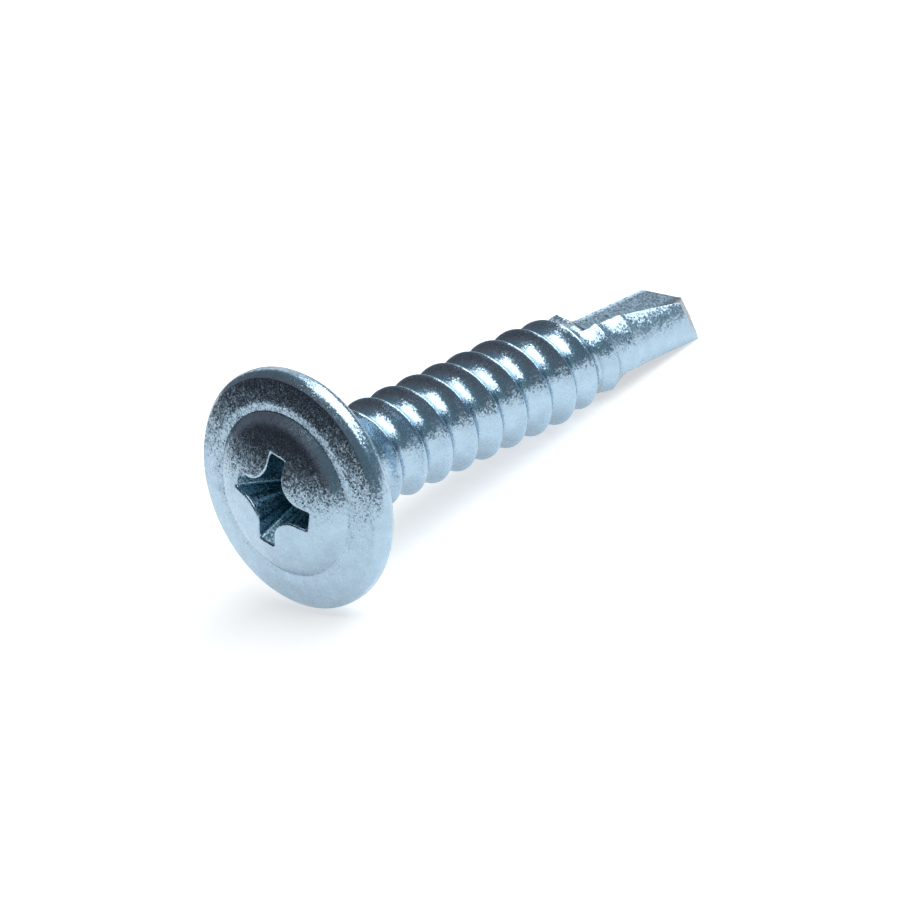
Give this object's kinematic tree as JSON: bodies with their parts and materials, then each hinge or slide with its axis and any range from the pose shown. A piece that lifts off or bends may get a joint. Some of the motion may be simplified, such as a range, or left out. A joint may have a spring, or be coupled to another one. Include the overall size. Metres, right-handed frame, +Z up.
{
  "type": "self drilling screw",
  "caption": "Wafer head self drilling screw, zinc plated, with a cross recess, a coarse right-hand thread up to the head and a two-flute drill point.",
  "frame": {"origin": "on the floor, under the middle of the screw's box as it lies", "axes": "+X from the head towards the drill point, +Z up, the screw lying on the rim of its head and on the two edges of one flute at its drill point"},
  "size_m": [0.027, 0.011, 0.011],
  "materials": {
    "zinc_plated_steel": "bright blue-white zinc plating, finely pitted"
  },
  "bodies": {
    "root": {"screw": "zinc_plated_steel"}
  },
  "joints": []
}
